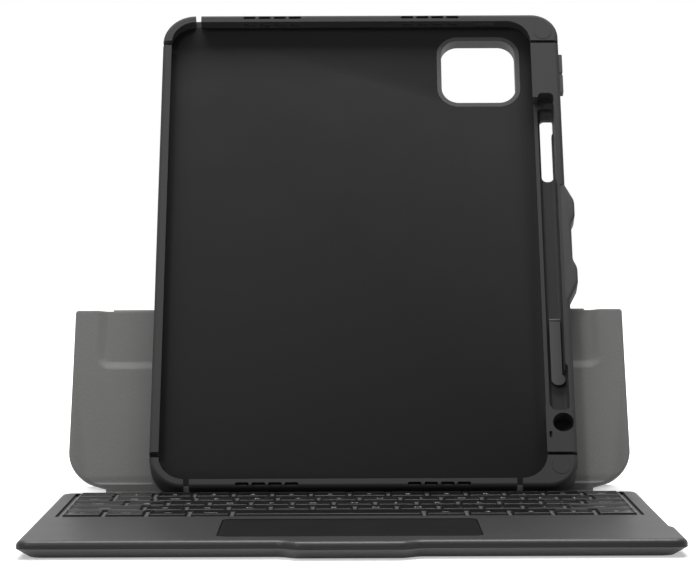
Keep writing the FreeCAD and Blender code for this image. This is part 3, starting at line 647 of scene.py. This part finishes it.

# %% [markdown]
# The first strip lies on the table, from under the base to the spine. On the real case a short part of it
# bends when the spine rises behind the base; here the strip is made of three straight runs and stays where
# it is.

# %% Spine strip
on_table = 0.9 * mm
spine_start = 90.6 * mm
spine_held = 0.8 * mm
spine_bend = 1.6 * mm
spine_lap = 8.0 * mm
spine_strip = Strip((0, spine_start, on_table), heading=0.0, thickness=1.8 * mm)
spine_strip.run(spine_held).run(spine_bend).run(spine_lap)
spine_leather = spine_strip.piece("spine_leather", ["spine_strip"], ["bottom_cover"])
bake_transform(spine_leather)
print("spine strip", round(spine_strip.length / mm, 1), "mm long")

# %% [markdown]
# The neck curves up from the spine into the lower panel, and its end is glued under the board. The round
# is as tight as leather of this thickness takes without a sharp crease.

# %% Neck
neck_start = 96.2 * mm
neck_flat = 1.55 * mm
neck_radius = 7.0 * mm
neck_tail = 8.0 * mm
neck = Strip((0, neck_start, on_table), heading=0.0, thickness=1.7 * mm)
neck.run(neck_flat).turn(neck_radius, lean, steps=14).run(neck_tail)
neck_leather = neck.piece("crease_leather", [], ["spine_leather", "lower_panel_leather"])
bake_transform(neck_leather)
print("neck", round(neck.length / mm, 1), "mm long")

# %% [markdown]
# The fold is a thin loop of leather over the top edge, from inside the lower board to inside the leg. Both
# ends are long enough to be held between the layers of a board.

# %% Fold loop
loop_inset = -0.4 * mm
loop_leave_row = 98.0 * mm
loop_held = 4.0 * mm
loop_lead = 1.29 * mm
loop_radius = 1.31 * mm
loop_tail = 5.0 * mm
loop_start = on_panel @ Vector((0, loop_leave_row - loop_held, loop_inset))
loop = Strip(loop_start, heading=lean, thickness=0.8 * mm)
loop.run(loop_held).run(loop_lead).turn(loop_radius, leg_turn - lean, steps=16).run(loop_tail)
fold_leather = loop.piece("fold_leather", ["fold_roll"], ["lower_panel_leather", "upper_panel_leather"])
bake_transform(fold_leather)
print("fold loop", round(loop.length / mm, 1), "mm long")

# %% [markdown]
# The finger grip. On the real case it is a strip of softer rubber, moulded into the holder's side, with
# two swells and a waist for the fingers. Its outline is drawn flat and rounded at the corners. It is
# then made as deep as its seat, and its outer front edge gets the full round that soft rubber has.

# %% Finger grip
grip_seat_side = 101.55 * mm
grip_face_side = 103.95 * mm
grip_waist_side = 106.15 * mm
grip_swell_side = 108.15 * mm
grip_low = 98.4 * mm
grip_length = 62.4 * mm
grip_back = 4.4 * mm
grip_front = 13.5 * mm
grip_corner = 1.5 * mm
grip_edge = 1.4 * mm
rise = [
    (grip_face_side, 0.0), (grip_swell_side, 8.6 * mm),
    (grip_swell_side, 17.2 * mm), (grip_waist_side, 21.6 * mm),
]
outline = rise + [(across, grip_length - along) for across, along in reversed(rise)]
bm = bmesh.new()
wave = [bm.verts.new((across, grip_low + along, grip_back)) for across, along in outline]
seat = [bm.verts.new((grip_seat_side, grip_low + along, grip_back)) for along in (grip_length, 0.0)]
bm.faces.new(wave + seat)
round_off(bm, wave[1:-1], grip_corner, 6, affect="VERTICES")
raised = bmesh.ops.extrude_face_region(bm, geom=bm.faces[:])
front = [v for v in raised["geom"] if isinstance(v, bmesh.types.BMVert)]
bmesh.ops.translate(bm, verts=front, vec=(0, 0, grip_front - grip_back))
outer = [
    e for e in bm.edges
    if all(v.co.x > grip_face_side - hair and v.co.z > grip_front - hair for v in e.verts)
]
round_edges(bm, outer, grip_edge, 4)
bmesh.ops.transform(bm, matrix=on_panel, verts=bm.verts)
grip = finish_piece("finger_grip", bm, grip_rubber, "bumper_case")
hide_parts("side_grip")
print("grip of", len(grip.data.polygons), "faces")

# %% [markdown]
# Key caps. Each is a thin moulded cap with rounded corners, a small round at its rim and a shallow dish
# for the finger. Its box is read from the solid it stands for, so a row keeps its widths. Insetting the
# top by rings, each lower than the last, makes the dish.

# %% One key cap
cap_stand = 0.6 * mm
cap_corner = 1.3 * mm
cap_rim = 0.4 * mm
dish_rings = ((0.10 * mm, 0.01 * mm), (0.35 * mm, 0.20 * mm), (1.5 * mm, 0.06 * mm), (2.0 * mm, 0.03 * mm))
ring_start = 0.001 * mm
dish_depth = sum(drop for inward, drop in dish_rings)


def boxes_of(node):
    """The box of each separate solid in a node, from left to right."""
    bm = bmesh.new()
    bm.from_mesh(node.data)
    bmesh.ops.remove_doubles(bm, verts=bm.verts[:], dist=hair)
    left = set(bm.verts)
    boxes = []
    while left:
        found = [left.pop()]
        for vert in found:
            linked = {e.other_vert(vert) for e in vert.link_edges} & left
            left -= linked
            found.extend(linked)
        low = Vector([min(v.co[i] for v in found) for i in range(3)])
        high = Vector([max(v.co[i] for v in found) for i in range(3)])
        boxes.append((low, high))
    bm.free()
    return sorted(boxes, key=lambda box: box[0].x)


def add_cap(bm, low, high):
    """A cap that stands a little above its solid, which is flush with the deck."""
    high = high + Vector((0, 0, cap_stand))
    cap = bmesh.new()
    size = Matrix.Diagonal((*(high - low), 1.0))
    bmesh.ops.create_cube(cap, size=1.0, matrix=Matrix.Translation((low + high) / 2) @ size)
    upright = [e for e in cap.edges if rise_of(e) > hair]
    round_edges(cap, upright, cap_corner, 4)
    rim = [e for e in cap.edges if all(abs(v.co.z - high.z) < hair for v in e.verts)]
    round_edges(cap, rim, cap_rim, 2)
    cap.normal_update()
    top = max((f for f in cap.faces if f.normal.z > facing), key=lambda f: f.calc_area())
    middle = Matrix.Translation(-(low + high) / 2)
    for inward, drop in dish_rings:
        bmesh.ops.inset_region(cap, faces=[top], thickness=ring_start)
        across = max(v.co.x for v in top.verts) - min(v.co.x for v in top.verts)
        along = max(v.co.y for v in top.verts) - min(v.co.y for v in top.verts)
        less = (1 - 2 * inward / across, 1 - 2 * inward / along, 1.0)
        bmesh.ops.scale(cap, verts=top.verts[:], vec=less, space=middle)
        bmesh.ops.translate(cap, verts=top.verts[:], vec=(0, 0, -drop))
    mesh = bpy.data.meshes.new("one_cap")
    cap.to_mesh(mesh)
    cap.free()
    bm.from_mesh(mesh)
    bpy.data.meshes.remove(mesh)


print("a dish", round(dish_depth / mm, 2), "mm deep")

# %% [markdown]
# The rows. The keys of a row are one piece and move together, and each wide key is a piece of its own.

# %% Rows of key caps
key_names = [
    "number_row_keys", "upper_row_keys", "home_row_keys", "lower_row_keys", "bottom_row_keys",
    "tab_key", "caps_key", "enter_key", "left_shift_key", "right_shift_key", "space_bar",
]
key_boxes = {}
for name in key_names:
    key_boxes[name] = boxes_of(nodes[name])
    bm = bmesh.new()
    for low, high in key_boxes[name]:
        add_cap(bm, low, high)
    caps = finish_piece(name + "_caps", bm, keycap_plastic, name, sharp=50.0)
    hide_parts(name)
print(sum(len(boxes) for boxes in key_boxes.values()), "key caps")

# %% [markdown]
# The lettering on the caps: plain letters, figures and key words, printed in pale grey on the flat of
# each dish. A font's outline made a mesh is laid on the cap, and arrows are three-sided discs.

# %% Key lettering
letter_size = 4.4 * mm
word_size = 2.9 * mm
arrow_size = 1.4 * mm
ink_lift = 0.01 * mm
legends = {
    "number_row_keys": list("`1234567890-=") + ["del"],
    "upper_row_keys": list("QWERTYUIOP[]\\"),
    "home_row_keys": list("ASDFGHJKL;'"),
    "lower_row_keys": list("ZXCVBNM,./"),
    "bottom_row_keys": ["fn", "ctrl", "alt", "meta", "alt", "LEFT", "UP", "DOWN", "RIGHT"],
    "tab_key": ["tab"], "caps_key": ["caps"], "enter_key": ["enter"],
    "left_shift_key": ["shift"], "right_shift_key": ["shift"],
}
arrow_turns = {"LEFT": 90.0, "UP": 0.0, "DOWN": -180.0, "RIGHT": -90.0}


def add_text(bm, text, place):
    curve = bpy.data.curves.new("letters", "FONT")
    curve.body = text
    curve.size = letter_size if len(text) == 1 else word_size
    curve.align_x = "CENTER"
    curve.align_y = "CENTER"
    letters = bpy.data.objects.new("letters", curve)
    mesh = bpy.data.meshes.new_from_object(letters)
    mesh.transform(Matrix.Translation(place))
    bm.from_mesh(mesh)
    bpy.data.objects.remove(letters)
    bpy.data.curves.remove(curve)
    bpy.data.meshes.remove(mesh)


for name, words in legends.items():
    bm = bmesh.new()
    for (low, high), word in zip(key_boxes[name], words):
        place = (low + high) / 2
        place.z = high.z + cap_stand - dish_depth + ink_lift
        if word in arrow_turns:
            turn = Matrix.Translation(place) @ Matrix.Rotation(math.radians(arrow_turns[word]), 4, "Z")
            bmesh.ops.create_circle(bm, cap_ends=True, segments=3, radius=arrow_size, matrix=turn)
        else:
            add_text(bm, word, place)
    finish_piece(name + "_letters", bm, legend_ink, name)
print(sum(len(words) for words in legends.values()), "legends")

# %% [markdown]
# The lining on the floor of the bay: a thin cloth, glued down flat, that keeps what is held there from
# being scratched. It is cut to the solid's outline with its camera window, and its rim is rounded.

# %% Bay lining
lining_rim = 0.1 * mm
bm = bmesh.new()
bm.from_mesh(nodes["device_pad"].data)
bmesh.ops.remove_doubles(bm, verts=bm.verts[:], dist=hair)
bmesh.ops.dissolve_limit(bm, angle_limit=math.radians(1), verts=bm.verts[:], edges=bm.edges[:])
outward = (on_panel.to_3x3() @ Vector((0, 0, 1))).normalized()
bm.normal_update()
cloth_area = sum(f.calc_area() for f in bm.faces if f.normal.dot(outward) > facing)
round_edges(bm, sharp_edges(bm), lining_rim, 2)
lining = finish_piece("bay_lining", bm, lining_cloth, "bumper_case")
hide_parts("device_pad")
print("lining of", round(cloth_area, 5), "square metres")
